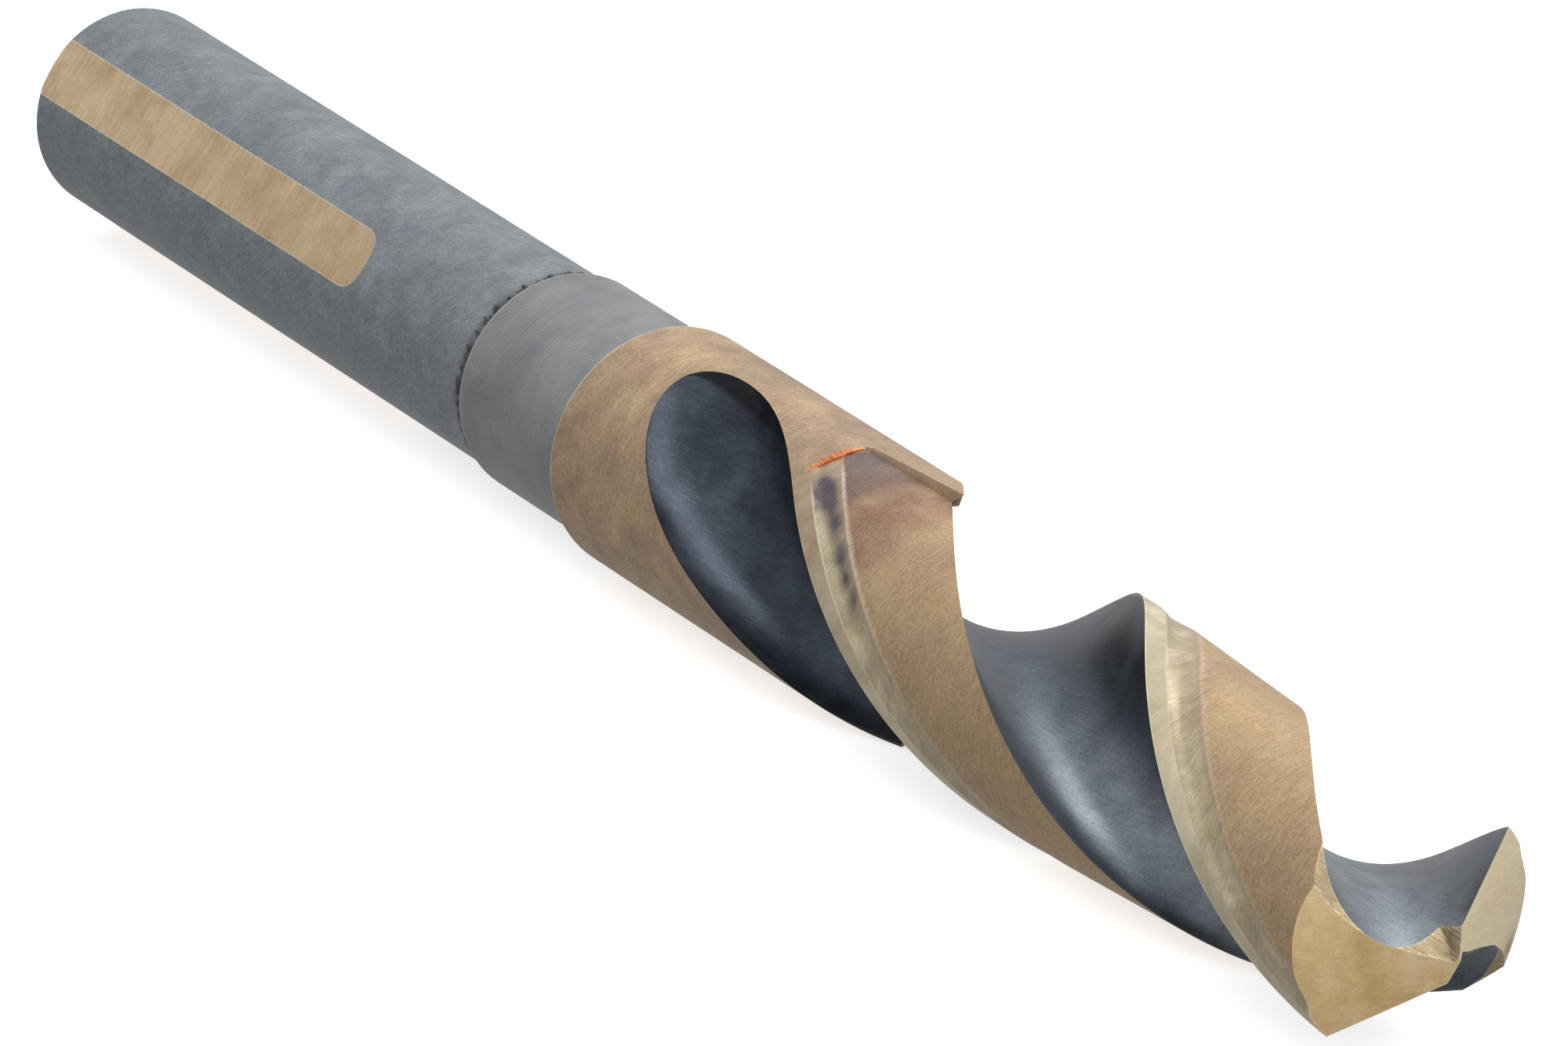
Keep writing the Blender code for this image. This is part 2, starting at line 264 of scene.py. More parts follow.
# bronze oxide on high-speed steel: tan with pinkish brown blotches
bodyOxideLook = dict(
    colours=[(0.30, "#8c7761"), (0.48, "#a38c73"), (0.60, "#ab9475"), (0.74, "#b9a485")], blotchMm=6.0,
    patch="#8a7060", patchMm=2.4, patchShare=0.5,
    streakTurn=86, streakMm=(1.5, 0.17), streakDepth=0.11, streakBump=0.5, tintStreak=0.6,
    grainMm=0.20, grainDepth=0.15, grainBump=0.45, rough=(0.50, 0.62), metallic=0.78,
    tints={"temper": "#6e5f59", "flush": "#7e5b49", "straw": "#a8906b"}, rim="#ddd3bd")
# margin ground last, so its oxide is the thinnest: pale straw
marginLook = dict(
    colours=[(0.32, "#aea184"), (0.50, "#c2b699"), (0.68, "#d3c9ae")], blotchMm=5.0,
    patch="#a8997c", patchMm=2.0, patchShare=0.35,
    streakTurn=90, streakMm=(0.9, 0.10), streakDepth=0.05, streakBump=0.35,
    grainMm=0.12, grainDepth=0.05, grainBump=0.2, rough=(0.36, 0.48), metallic=0.8,
    tints={"early": "#9a856d"}, rim="#f2ecdc")
# the hollow behind the margin, wheel-brushed: olive with pale streaks that cross it aslant
gutterLook = dict(
    colours=[(0.32, "#978a72"), (0.50, "#ab9d82"), (0.68, "#c0b498")], blotchMm=3.0,
    patch="#978a70", patchMm=1.3, patchShare=0.4,
    streakTurn=80, streakMm=(2.0, 0.12), streakDepth=0.17, streakBump=0.9,
    grainMm=0.12, grainDepth=0.07, grainBump=0.3, rough=(0.38, 0.52), metallic=0.8,
    tints={"gutterStart": "#a58f76", "blue": "#574e52"}, rim="#ddd3bd")
# flutes: thick black oxide on a milled surface, blue-black, with fine feed lines; a painted sheen lightens
# them towards the tip and across their middle, and painted shade darkens the wall where a flute runs out
fluteLook = dict(
    colours=[(0.28, "#262a31"), (0.48, "#363c45"), (0.62, "#454c55"), (0.78, "#5a626b")], blotchMm=7.0,
    patch="#22262e", patchMm=2.0, patchShare=0.45,
    streakTurn=14, streakMm=(3.0, 0.18), streakDepth=0.10, streakBump=0.5,
    grainMm=0.18, grainDepth=0.15, grainBump=0.35, rough=(0.30, 0.46), metallic=0.85,
    tints={"worn": "#7b8288", "wallDark": "#1b1d21"}, rim="#b6b4aa")
# point flanks, wheel-ground and straw-coloured by the heat of grinding; the first side's flank is drawn
# paler than its twin as painted light
flankLook = dict(
    colours=[(0.32, "#d2ae7a"), (0.50, "#e4c590"), (0.68, "#efd6a8")], blotchMm=3.5,
    patch="#cda976", patchMm=1.2, patchShare=0.4,
    streakTurn=25, streakMm=(1.4, 0.10), streakDepth=0.07, streakBump=0.5,
    grainMm=0.10, grainDepth=0.08, grainBump=0.4, rough=(0.38, 0.50), metallic=0.8,
    tints={"pale": "#ddd0af", "olive": "#9b8450"}, rim="#eee4c8")
# the split ground across the web: coarser wheel, grey brown
gashLook = dict(
    colours=[(0.32, "#7c6f57"), (0.50, "#968668"), (0.68, "#aa9a7a")], blotchMm=1.8,
    patch="#6c6150", patchMm=0.8, patchShare=0.6,
    streakTurn=70, streakMm=(1.0, 0.12), streakDepth=0.20, streakBump=1.0,
    grainMm=0.10, grainDepth=0.10, grainBump=0.5, rough=(0.42, 0.56), metallic=0.75,
    tints={"shade": "#1c1d1f"}, rim="#d8ccb0")
# neck, turned and then only lightly oxidised: mid grey, with the tool's rings in it
neckLook = dict(
    colours=[(0.30, "#74767a"), (0.50, "#838587"), (0.70, "#93948f")], blotchMm=6.0,
    patch="#6d6f73", patchMm=3.0, patchShare=0.35,
    streakTurn=0, streakMm=(0.11, 14.0), streakDepth=0.08, streakBump=0.8, ringMm=0.28, ringDepth=0.13,
    grainMm=0.14, grainDepth=0.05, grainBump=0.2, rough=(0.40, 0.52), metallic=0.82, rim="#c8c5bb")
# raised lip of metal where the relief wheel came in: bare copper-coloured temper film
burrLook = dict(
    colours=[(0.30, "#a65c2a"), (0.50, "#c87840"), (0.70, "#dc9a66")], blotchMm=0.7,
    patch="#8e5a38", patchMm=0.4, patchShare=0.5,
    streakTurn=90, streakMm=(0.5, 0.06), streakDepth=0.15, streakBump=0.6,
    grainMm=0.08, grainDepth=0.12, grainBump=0.5, rough=(0.35, 0.5), metallic=0.75, rim="#f0e4d2")
# scale in the weld line: dark and dull
weldLook = dict(
    colours=[(0.35, "#2c2d2f"), (0.55, "#4a4b4c"), (0.75, "#7a7a77")], blotchMm=0.8,
    patch="#1f2022", patchMm=0.5, patchShare=0.8,
    streakTurn=0, streakMm=(0.4, 0.2), streakDepth=0.2, streakBump=0.8,
    grainMm=0.10, grainDepth=0.2, grainBump=0.8, rough=(0.55, 0.7), metallic=0.6)

shankOxide = oxideSteel("blackOxideShank", shankOxideLook)
flatGround = oxideSteel("strawGroundFlat", flatGroundLook)
bodyOxide = oxideSteel("bronzeOxideBody", bodyOxideLook)
marginGround = oxideSteel("paleGroundMargin", marginLook)
gutterBrushed = oxideSteel("oliveBrushedGutter", gutterLook)
fluteOxide = oxideSteel("blackOxideFlute", fluteLook)
flankGround = oxideSteel("strawGroundFlank", flankLook)
gashGround = oxideSteel("brownGroundSplit", gashLook)
neckTurned = oxideSteel("greyTurnedNeck", neckLook)
burrCopper = oxideSteel("copperTemperBurr", burrLook)
weldScale = oxideSteel("darkWeldScale", weldLook)
print("finishes made")


shank = dict(
    radius=shankBox[1][2] / mm, length=shankBox[1][0] / mm, chamfer=0.8, chamferPart=0.9,
    flatDepth=6.066, flatLength=38.9, runoutRadius=6.4, flatAngles=(60, 180, 300), edgeDegrees=0.45,
    seamLong=1.1, seamFade=0.8, seamShare=0.55)


def shankProfile(s):
    # stations along the turned rod and the radius at each: a rounded chamfer, the plain round, and an
    # edge rolled over at the weld
    flatEnd, end = s["flatLength"], s["length"]
    xs = np.concatenate([
        [0.0, 0.0, 0.05, 0.14, 0.3, 0.5, 0.7, 0.8], np.linspace(1.0, flatEnd, 60),
        flatEnd + np.array([0.2, 0.5, 0.8, 1.1, 1.35, 1.55, 1.7, 1.8, 1.87, 1.92, 1.98, 2.1]),
        np.linspace(flatEnd + 2.6, end - 0.15, 30), [end - 0.06, end, end, end]])
    edge = np.clip(xs / s["chamfer"], 0, 1)
    drop = s["chamfer"] * (1 - np.sqrt(1 - (1 - edge) ** 2)) * s["chamferPart"]
    turned = np.where(xs < s["chamfer"], s["radius"] - drop, s["radius"])
    turned[0] = 0.0
    turned[-4:] = s["radius"] - np.array([0.03, 0.09, 0.8, s["radius"]])
    return xs, turned


def makeShank(s):
    # radius = the turned one or, inside a flat, depth / cos(angle from the flat's middle), whichever
    # is smaller. The run-out of a flat is an arc: depth + R - sqrt(R^2 - past^2).
    xs, turned = shankProfile(s)
    past = np.clip(xs - s["flatLength"], 0, s["runoutRadius"])
    depth = s["flatDepth"] + s["runoutRadius"] - np.sqrt(s["runoutRadius"] ** 2 - past ** 2)
    half = np.arccos(np.clip(depth / np.maximum(turned, 1e-6), -1, 1))
    half = np.where(turned < s["flatDepth"], 0.0, half)
    line = deg(s["edgeDegrees"])  # the column next to a flat's edge is this far off
    half = np.maximum(half, 2.2 * line)[:, None]
    left = -deg(60) + (deg(60) - half - line) * np.linspace(0, 1, 15)[:-1]
    inner = (half - line) * np.linspace(-1, 1, 13)
    third = np.concatenate([left, -half - line, -half, inner, half, half + line, -left[:, :0:-1]], 1)
    local = np.concatenate([third] * 3 + [third[:, :1]], 1)
    turn = np.concatenate([third + deg(a) for a in s["flatAngles"]], 1)
    turn = np.concatenate([turn, turn[:, :1] + 2 * np.pi], 1)

    onFlat = ((depth < turned) & (turned > s["flatDepth"]))[:, None]
    turned, away = turned[:, None], np.abs(local)
    cut = np.minimum(turned, depth[:, None] / np.cos(local))
    r = np.where((away < half + 1e-9) & onFlat, cut, turned)
    x = np.broadcast_to(xs[:, None], r.shape)
    # the flats' edges drawn pale: a painted highlight with wear
    rim = (np.abs(away - half) < 1e-6) & onFlat
    seam = s["seamShare"] * smooth((x - s["length"] + s["seamLong"]) / s["seamFade"])
    inFlat = (0.5 * (away[:-1, :-1] + away[:-1, 1:]) < half[:-1]) & onFlat[1:]
    # the turn goes the other way round here, so each face is listed backwards to look outwards
    faces = [face[::-1] for face in gridFaces(*r.shape)]
    uv = gridUv(x, turn * s["radius"]).reshape(-1, 4, 2)[:, ::-1]
    return newPiece(
        "shankTurned", polar(x, r, turn).reshape(-1, 3), faces, [shankOxide, flatGround],
        uv, 12, matIndex=inFlat.ravel(), attributes={"rim": rim, "seam": seam})


shankPiece = makeShank(shank)
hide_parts("shank")


weld = dict(
    inside=6.0, low=6.36, high=6.57, start=54.10, foot=54.74, footRadii=(6.30, 6.34), end=54.95,
    heapMean=0.5, heapSpread=0.55, rearSlack=0.30, rearSpread=0.10, uvRadius=6.4, count=520, seed=4)


def raggedRing(w):
    # a closed ring of scale squeezed out of the joint: its outside radius and its rear edge are a mean
    # plus smoothed noise cut off below, so it breaks into dashes
    rng = np.random.default_rng(w["seed"])
    turn = np.linspace(0, 2 * np.pi, w["count"] + 1)
    noise = rng.normal(size=(2, w["count"]))
    noise = sum(np.roll(noise, k, 1) for k in range(-2, 3)) / 5 ** 0.5
    noise = np.concatenate([noise, noise[:, :1]], 1)
    heap = np.clip(w["heapMean"] + w["heapSpread"] * noise[0], 0, 1)
    top = w["low"] - 0.03 + (w["high"] - w["low"]) * heap
    rear = w["start"] + w["rearSlack"] * (1 - heap) + w["rearSpread"] * np.clip(noise[1], -1, 1)
    foot, end, inside, low, high = (
        np.full_like(turn, value) for value in (w["foot"], w["end"], w["inside"], *w["footRadii"]))
    xs = np.stack([foot, foot, rear, rear + 0.12, rear + 0.35, end, end, foot])
    rs = np.stack([inside, low, high, top - 0.03, top, top - 0.06, inside, inside])
    return newPiece("weldLine", polar(xs, rs, turn).reshape(-1, 3), gridFaces(*xs.shape), [weldScale],
                    gridUv(xs, turn * w["uvRadius"]), 40)


raggedRing(weld)


fluted = dict(
    radius=bodyBox[1][2] / mm, neckStart=bodyBox[0][0] / mm, neckRadius=6.715, bodyStart=67.0,
    turnPerMm=deg(4.668), marginAtZero=deg(342.94),
    web=1.07, lipSlope=np.tan(deg(31.0)), wallIn=1.35, heelRadius=6.76, heelStart=deg(94.6),
    heelEnd=deg(101.0), heelRise=deg(49.0), handles=(3.80, 1.90), openX=73.651, fullX=90.0, wheel=31.6,
    lift=deg(60.0), margin=10.5, gutterDeep=17.0, land=27.5, gutterDepth=0.09, landDepth=0.12,
    heelDepth=0.63, heelDepthAt=84.0, reliefX=89.15, reliefFar=40.0, reliefSlant=5.57, farEdge=1.1,
    lipCornerX=148.62, flankLinear=0.080, flankCurve=0.053, tipX=142.0, beyondTipX=155.5)
# steps across each strip of a land, and points across a flute
strips = dict(margin=16, gutterNear=7, gutterFar=7, land=20, farEdge=2, heel=18, flute=58)
gash = dict(
    heel=(3.09, -6.10, 147.85), inner=(0.42, -0.42, 152.15), outer=(0.05, -6.85, 145.60),
    notchInner=(0.0, -0.25), notchOuter=(-1.16, -1.07), wallSlope=5.5, wallTop=152.2,
    dish=0.55, dishMiddle=-3.2, dishHalf=2.8)
lipTurn = fluted["marginAtZero"] + fluted["turnPerMm"] * fluted["lipCornerX"] - np.arcsin(
    fluted["web"] / fluted["radius"])  # where the first lip points
bodyMats = [bodyOxide, marginGround, gutterBrushed, fluteOxide, neckTurned, flankGround, gashGround]
landMat, marginMat, gutterMat, fluteMat, neckMat, flankMat, gashMat = range(len(bodyMats))


def farLine(f, x):
    # degrees behind the margin's edge where the relief ends: it runs back on a slant
    return f["reliefFar"] + f["reliefSlant"] * (x - f["reliefX"])


def relief(f, x, behind):
    # depth below the margin, with behind in degrees from the margin's leading edge: nothing on the
    # margin, a shallow hollow, then a straight fall to the heel. It starts at the relief wheel's line
    # and fades out within farEdge degrees of its slanted far line.
    base = f["landDepth"] * smooth((behind - f["margin"]) / 6.0)
    slope = (f["heelDepth"] - f["landDepth"]) / (f["heelDepthAt"] - f["land"])
    base = base + slope * np.clip(behind - f["land"], 0, None)
    across = np.clip((behind - f["margin"]) / (f["land"] - f["margin"]), 0, 1)
    hollow = f["gutterDepth"] * np.sin(np.pi * across ** 0.8)
    hollowX = f["reliefX"] + 0.45 + 2.3 * np.clip((behind - 8) / 17, 0, 1)
    depth = base * smooth((x - f["reliefX"]) / 0.22) + hollow * smooth((x - hollowX) / 1.2)
    return depth * smooth((farLine(f, x) + f["farEdge"] - behind) / f["farEdge"]) * (x > f["reliefX"])


def evenly(curve, places, count):
    # the curve between two fractional places along it, as count points an equal length apart
    first, last = int(np.ceil(places[0])), int(np.floor(places[1]))
    steps = np.concatenate([[places[0]], np.arange(first, last + 1), [places[1]]])
    pick = np.stack([np.interp(steps, np.arange(len(curve)), c) for c in curve.T], -1)
    run = np.concatenate([[0], np.cumsum(np.hypot(*np.diff(pick, axis=0).T))])
    return np.stack([np.interp(run[-1] * np.linspace(0, 1, count), run, c) for c in pick.T], -1)


def fluteSections(f, xs, count):
    # the flute at each x, from the margin's edge to the heel: a wall that keeps the lip straight, then
    # a cubic from the web out to the heel. Before the full depth the milling wheel lifts the curve out
    # along an arc, and only what lies inside the bar is kept.
    full = np.sqrt(f["radius"] ** 2 - f["web"] ** 2)
    r = f["radius"] + (f["wallIn"] - f["radius"]) * np.sin(0.5 * np.pi * np.linspace(0, 1, 90))
    a = np.arcsin(f["web"] / r) - np.arcsin(f["web"] / f["radius"])
    a = a - f["turnPerMm"] * f["lipSlope"] * (full - np.sqrt(r ** 2 - f["web"] ** 2))
    wall = np.stack([r * np.cos(a), r * np.sin(a)], -1)
    start, leave = wall[-1], wall[-1] - wall[-2]
    leave = leave / np.hypot(*leave)
    rise = np.array([np.cos(f["heelRise"]), np.sin(f["heelRise"])])
    lift = np.array([np.cos(f["lift"]), np.sin(f["lift"])])
    t = np.linspace(0, 1, 160)[1:, None]
    out = np.zeros((len(xs), count, 2))
    for k, x in enumerate(xs):
        along = max(0.0, (x - f["fullX"]) / (f["lipCornerX"] - f["fullX"]))
        at = f["heelStart"] + (f["heelEnd"] - f["heelStart"]) * along
        heel = f["heelRadius"] * np.array([np.cos(at), np.sin(at)])
        near, away = start + f["handles"][0] * leave, heel - f["handles"][1] * rise
        curve = start * (1 - t) ** 3 + 3 * near * t * (1 - t) ** 2
        curve = curve + 3 * away * t ** 2 * (1 - t) + heel * t ** 3
        tail = heel + rise * np.linspace(0.05, 3.0, 60)[:, None]
        back = max(0.0, f["fullX"] - x) / np.cos(deg(30))
        raised = f["wheel"] - np.sqrt(f["wheel"] ** 2 - back ** 2)
        curve = np.concatenate([wall, curve, tail]) + raised * lift
        radius, angle = np.hypot(*curve.T), np.arctan2(curve[:, 1], curve[:, 0])
        lowered = f["radius"] - relief(f, x, 180 - np.degrees(angle))
        gap = np.where(angle > deg(45), lowered, f["radius"]) - radius
        inside = np.flatnonzero(gap > 1e-9)
        if len(inside) < 2:  # the flute has not opened yet
            continue
        first, last = inside[0], inside[-1]
        enters = first - gap[first] / (gap[first] - gap[first - 1]) if first > 0 else 0.0
        leaves = last + gap[last] / (gap[last] - gap[last + 1])
        pick = evenly(curve, (enters, leaves), count)
        out[k] = np.stack([np.hypot(*pick.T), np.arctan2(pick[:, 1], pick[:, 0])], -1)
    return out[..., 0], out[..., 1]


def pointHeight(s, q):
    # x of the ground point over the plane across the axis, s along the lip and q ahead of it: the lower
    # of the two flanks (straight along the lip, curved behind it) and the two splits (a plane dished by
    # the wheel and a steep wall, whichever is higher)
    f, g = fluted, gash
    full = np.sqrt(f["radius"] ** 2 - f["web"] ** 2)
    corners = np.array([g["heel"], g["inner"], g["outer"]])
    slopes = np.linalg.solve(np.c_[corners[:, :2], np.ones(3)], corners[:, 2])
    run = np.array(g["notchOuter"]) - np.array(g["notchInner"])
    run = run / np.hypot(*run)
    found = []
    for side in (1, -1):
        u, v = side * s, side * q
        behind = f["web"] - v
        flank = f["lipCornerX"] + (full - u) * f["lipSlope"]
        flank = flank - f["flankLinear"] * behind - f["flankCurve"] * behind ** 2
        floor = slopes[0] * u + slopes[1] * v + slopes[2]
        floor = floor - g["dish"] * np.clip(1 - ((v - g["dishMiddle"]) / g["dishHalf"]) ** 2, 0, 1)
        inward = (u - g["notchInner"][0]) * -run[1] + (v - g["notchInner"][1]) * run[0]
        found += [flank, np.maximum(floor, g["wallTop"] - g["wallSlope"] * inward)]
    found = np.stack(found)
    return found.min(0), found.argmin(0)


def bodyRows(f):
    # stations along the body: close together where the flutes open, since their width grows there as
    # the square root of the distance, and where the relief begins
    opening = f["openX"] + (f["fullX"] - 1.6 - f["openX"]) * np.linspace(0, 1, 76) ** 2
    rows = np.concatenate([
        np.linspace(f["bodyStart"] + 0.25, f["openX"] - 0.1, 9), opening,
        np.linspace(f["reliefX"] - 0.55, f["reliefX"] - 0.05, 4),
        f["reliefX"] + np.array([0.0, 0.05, 0.1, 0.15, 0.22, 0.3]),
        np.linspace(f["reliefX"] + 0.45, 101.8, 46), np.linspace(102.2, f["tipX"], 84)[:-1]])
    return np.unique(np.round(rows, 4))


def neckRows(f):
    # stations and radii of the neck and of the body's rear face, with small rounds on both edges
    neck, start, outer = f["neckRadius"], f["bodyStart"], f["radius"]
    xs = np.concatenate([
        [f["neckStart"]] * 2, f["neckStart"] + np.array([0.02, 0.07, 0.15, 0.3]),
        np.linspace(56.0, 66.2, 24), [66.6, 66.85],
        start + np.array([0.0, 0.0, 0.03, 0.10, 0.17, 0.2])])
    rs = np.concatenate([
        [0.0, neck - 0.13, neck - 0.06, neck - 0.02, neck, neck], np.full(24, neck),
        [neck, neck - 0.02, neck - 0.03, outer - 0.16, outer - 0.06, outer - 0.015, outer - 0.003, outer]])
    return xs, rs


def landDegrees(f, x, leading, heel):
    # the columns of a land at each x, in degrees behind the margin's leading edge
    far = np.maximum(f["reliefFar"], farLine(f, x))
    edges = [leading, f["margin"], f["gutterDeep"], f["land"], np.minimum(far, heel - 1.6),
             np.minimum(far + f["farEdge"], heel - 0.8), heel]
    counts = [strips[key] for key in ("margin", "gutterNear", "gutterFar", "land", "farEdge", "heel")]
    spans = [a + (b - a) * np.linspace(0, 1, n + 1)[:-1] for a, b, n in zip(edges, edges[1:], counts)]
    return np.concatenate([np.broadcast_to(s, (len(x), s.shape[-1])) for s in spans] + [heel], 1)


def fractionalRows(values, want):
    # each column's values at fractional row numbers
    low = np.floor(want).astype(int)
    part = want - low
    column = np.arange(want.shape[1])
    high = np.minimum(low + 1, len(values) - 1)
    return values[low, column] * (1 - part) + values[high, column] * part


# blued spots in the hollow: mm past the relief's start, length, degrees behind the edge, spread, strength
heatPatches = ((2.2, 1.2, 15, 6.5, 1.3), (3.6, 1.2, 20, 5, 1.4), (5.8, 0.95, 21, 4.6, 1.2),
               (7.9, 0.75, 21, 4.4, 1.1), (9.4, 0.6, 21, 4.2, 1.0), (10.8, 0.6, 22, 3.8, 0.9))


def bodyTints(f, x, behind, isLand, share):
    # how much heat, wear and film thickness show, and where painted sheen and painted shade lie in the
    # flutes: x along the drill and past it from the relief's start in mm, behind in degrees from the
    # margin's edge, share across a flute from margin to heel
    past = x - f["reliefX"]
    ahead = isLand * (past > -0.05) * smooth((behind - 26) / 2)
    ahead = ahead * smooth((f["reliefFar"] + f["reliefSlant"] * past + 1 - behind) / 2)
    blue = sum(strength * bell(past, at, wide) * bell(behind, middle, spread)
               for at, wide, middle, spread, strength in heatPatches) * isLand
    gutterStart = 1 - smooth(past - 0.6 - 1.6 * ((behind - 18) / 9) ** 2)
    crease = 0.17 - 0.05 * smooth((x - 76) / 9)
    return {
        "temper": 1.15 * ahead * smooth((6.4 - past) / 2.2),
        "flush": 0.75 * ahead * bell(past, 8.0, 3.2),
        "straw": 0.55 * isLand * smooth((x - 96) / 10),
        "blue": blue,
        "early": 1 - smooth((x - 91) / 15),
        # painted sheen in the flutes, lighter towards the tip and across the middle, with some wear near
        # the tip
        "worn": smooth((x - 100) / 34) * (0.15 + 0.75 * bell(share, 0.62, 0.28)),
        # painted shade on a flute's wall where it runs out, darkest along the crease
        "wallDark": smooth((crease - share) / 0.05) * (1 - smooth((x - 88) / 12)),
        "gutterStart": np.maximum(gutterStart, 1.3 * smooth((behind - 22.5) / 5))}


def bodyRims(f, x, neckCount, landCount, halfCount):
    # edges drawn pale, worn and with a painted highlight: the neck's two ends, both margins' leading edges,
    # the heels, and both edges of each hollow
    rim = np.zeros_like(x)
    rim[1:5] = np.array([0.9, 0.9, 0.8, 0.3])[:, None]
    rim[neckCount - 4:neckCount] = np.array([1.0, 1.0, 0.7, 0.2])[:, None]
    body = x[neckCount:]
    start = smooth((body[:, 0] - 90) / 4)
    past = body[:, 0] - f["reliefX"]
    edges = ((0, 0.45), (halfCount, 1.0), (2 * halfCount, 0.45), (landCount - 1, 0.25),
             (halfCount + landCount - 1, 0.25))
    for column, strength in edges:
        rim[neckCount:, column] = strength * start
    gutterEnd = strips["margin"] + strips["gutterNear"] + strips["gutterFar"]
    for column in (strips["margin"], gutterEnd, halfCount + strips["margin"], halfCount + gutterEnd):
        rim[neckCount:, column] = 0.7 * smooth((past - 0.8) / 1.5) * (1 - 0.6 * smooth((past - 12) / 6))
    rim[-1] = np.maximum(rim[-1], 0.35)
    return rim


def bodySide(f):
    # the side of the neck and body as one grid: a row at each station and, round each row, a land, the
    # next flute from heel to margin, and the same again half a turn on
    xs = bodyRows(f)
    rows = len(xs)
    every = np.concatenate([xs, np.linspace(f["tipX"], f["beyondTipX"], 180)])[:, None]
    fluteR, fluteA = fluteSections(f, every[:, 0], strips["flute"])
    first = np.flatnonzero(fluteR[:, 0] > 0)[0]
    fluteR[:first + 1] = f["radius"]
    fluteA[:first + 1] = 0.5 * (fluteA[first, 0] + fluteA[first, -1])
    behind = landDegrees(f, every, -np.degrees(fluteA[:, :1]), 180 - np.degrees(fluteA[:, -1:]))
    landR = f["radius"] - relief(f, every, behind)
    landR[:, 0], landR[:, -1] = fluteR[:, 0], fluteR[:, -1]
    landA = -deg(behind)
    backR, backA = fluteR[:, -2:0:-1], fluteA[:, -2:0:-1]
    r = np.concatenate([landR, backR, landR, backR, landR[:, :1]], 1)
    a = np.concatenate([
        landA, backA - np.pi, landA - np.pi, backA - 2 * np.pi, landA[:, :1] - 2 * np.pi], 1)

    # millimetres across each strip, for the streaks: a column's value as the left or right of a face
    landV = behind * deg(1) * f["radius"]
    steps = np.hypot(np.diff(fluteR * np.cos(fluteA)), np.diff(fluteR * np.sin(fluteA)))
    fluteV = np.concatenate([np.zeros_like(every), np.cumsum(steps, 1)], 1)
    leftV = np.concatenate([landV[:, :-1], fluteV[:, :0:-1]] * 2, 1)
    rightV = np.concatenate([landV[:, 1:], fluteV[:, -2::-1]] * 2, 1)

    # the last stretch of every column ends where it meets the ground point
    turn = f["marginAtZero"] + f["turnPerMm"] * every
    s, q = r * np.cos(a + turn - lipTurn), r * np.sin(a + turn - lipTurn)
    over = (pointHeight(s, q)[0] - every)[rows:]
    stop = (over < 0).argmax(0)
    column = np.arange(over.shape[1])
    ends = stop - 1 + over[stop - 1, column] / (over[stop - 1, column] - over[stop, column])
    want = ends * np.sin(0.5 * np.pi * np.linspace(0, 1, 30))[:, None]

    def cut(values):
        # the body's rows of a grid, then its rows up to the ground point
        tip = fractionalRows(values[rows:], want[:, :values.shape[1]])
        return np.concatenate([values[:rows], tip])

    x = cut(np.broadcast_to(every, r.shape))
    angle = cut(a)
    angle[:rows] += turn[:rows]
    angle[rows:] += f["marginAtZero"] + f["turnPerMm"] * x[rows:]
    r, leftV, rightV = cut(r), cut(leftV), cut(rightV)

    # the neck's rings have the same columns, turned as in the body's first row
    neckX, neckR = neckRows(f)
    neckCount = len(neckX)
    ring = np.broadcast_to(angle[0], (neckCount, len(column)))
    edgeV = ring * f["radius"]
    x = np.concatenate([np.broadcast_to(neckX[:, None], ring.shape), x])
    r = np.concatenate([np.broadcast_to(neckR[:, None], ring.shape), r])
    angle = np.concatenate([ring, angle])
    leftV = np.concatenate([edgeV[:, :-1], leftV])
    rightV = np.concatenate([edgeV[:, 1:], rightV])
    uv = np.stack([
        np.stack([x[:-1, :-1], leftV[:-1]], -1), np.stack([x[:-1, 1:], rightV[:-1]], -1),
        np.stack([x[1:, 1:], rightV[1:]], -1), np.stack([x[1:, :-1], leftV[1:]], -1)], 2)

    # one finish for each strip, but plain land before the relief, and the neck
    gutter = strips["gutterNear"] + strips["gutterFar"]
    plain = strips["land"] + strips["farEdge"] + strips["heel"]
    kinds = np.repeat([marginMat, gutterMat, landMat, fluteMat] * 2,
                      [strips["margin"], gutter, plain, strips["flute"] - 1] * 2)
    kinds = np.broadcast_to(kinds, (len(x) - 1, len(kinds))).copy()
    kinds[(x[:-1, :-1] < f["reliefX"] - 0.02) & (kinds < fluteMat)] = landMat
    kinds[:neckCount - 6] = neckMat

    landCount, backCount = landR.shape[1], backR.shape[1]
    halfCount = landCount + backCount
    off, on = np.full((len(every), backCount), 50.0), np.ones(landCount, bool)
    degrees = cut(np.concatenate([behind, off, behind, off, off[:, :1]], 1))
    degrees = np.concatenate([np.zeros(ring.shape), degrees])
    isLand = np.concatenate([on, np.zeros(backCount, bool)] * 2 + [[False]])
    share = np.linspace(1, 0, strips["flute"])[1:-1]
    share = np.concatenate([0.0 * on, share] * 2 + [[0.0]])
    fields = bodyTints(f, x, degrees, isLand, share)
    fields["rim"] = bodyRims(f, x, neckCount, landCount, halfCount)
    fields = {key: np.broadcast_to(values, x.shape).ravel() for key, values in fields.items()}
    return x, r, angle, uv.reshape(-1, 2), kinds.ravel(), fields


def nearest(points, others):
    # distance from each point to the closest of the others, a block at a time
    blocks = np.array_split(points, max(1, len(points) // 2000))
    return np.concatenate([
        np.sqrt(((block[:, None] - others) ** 2).sum(-1).min(1)) for block in blocks])


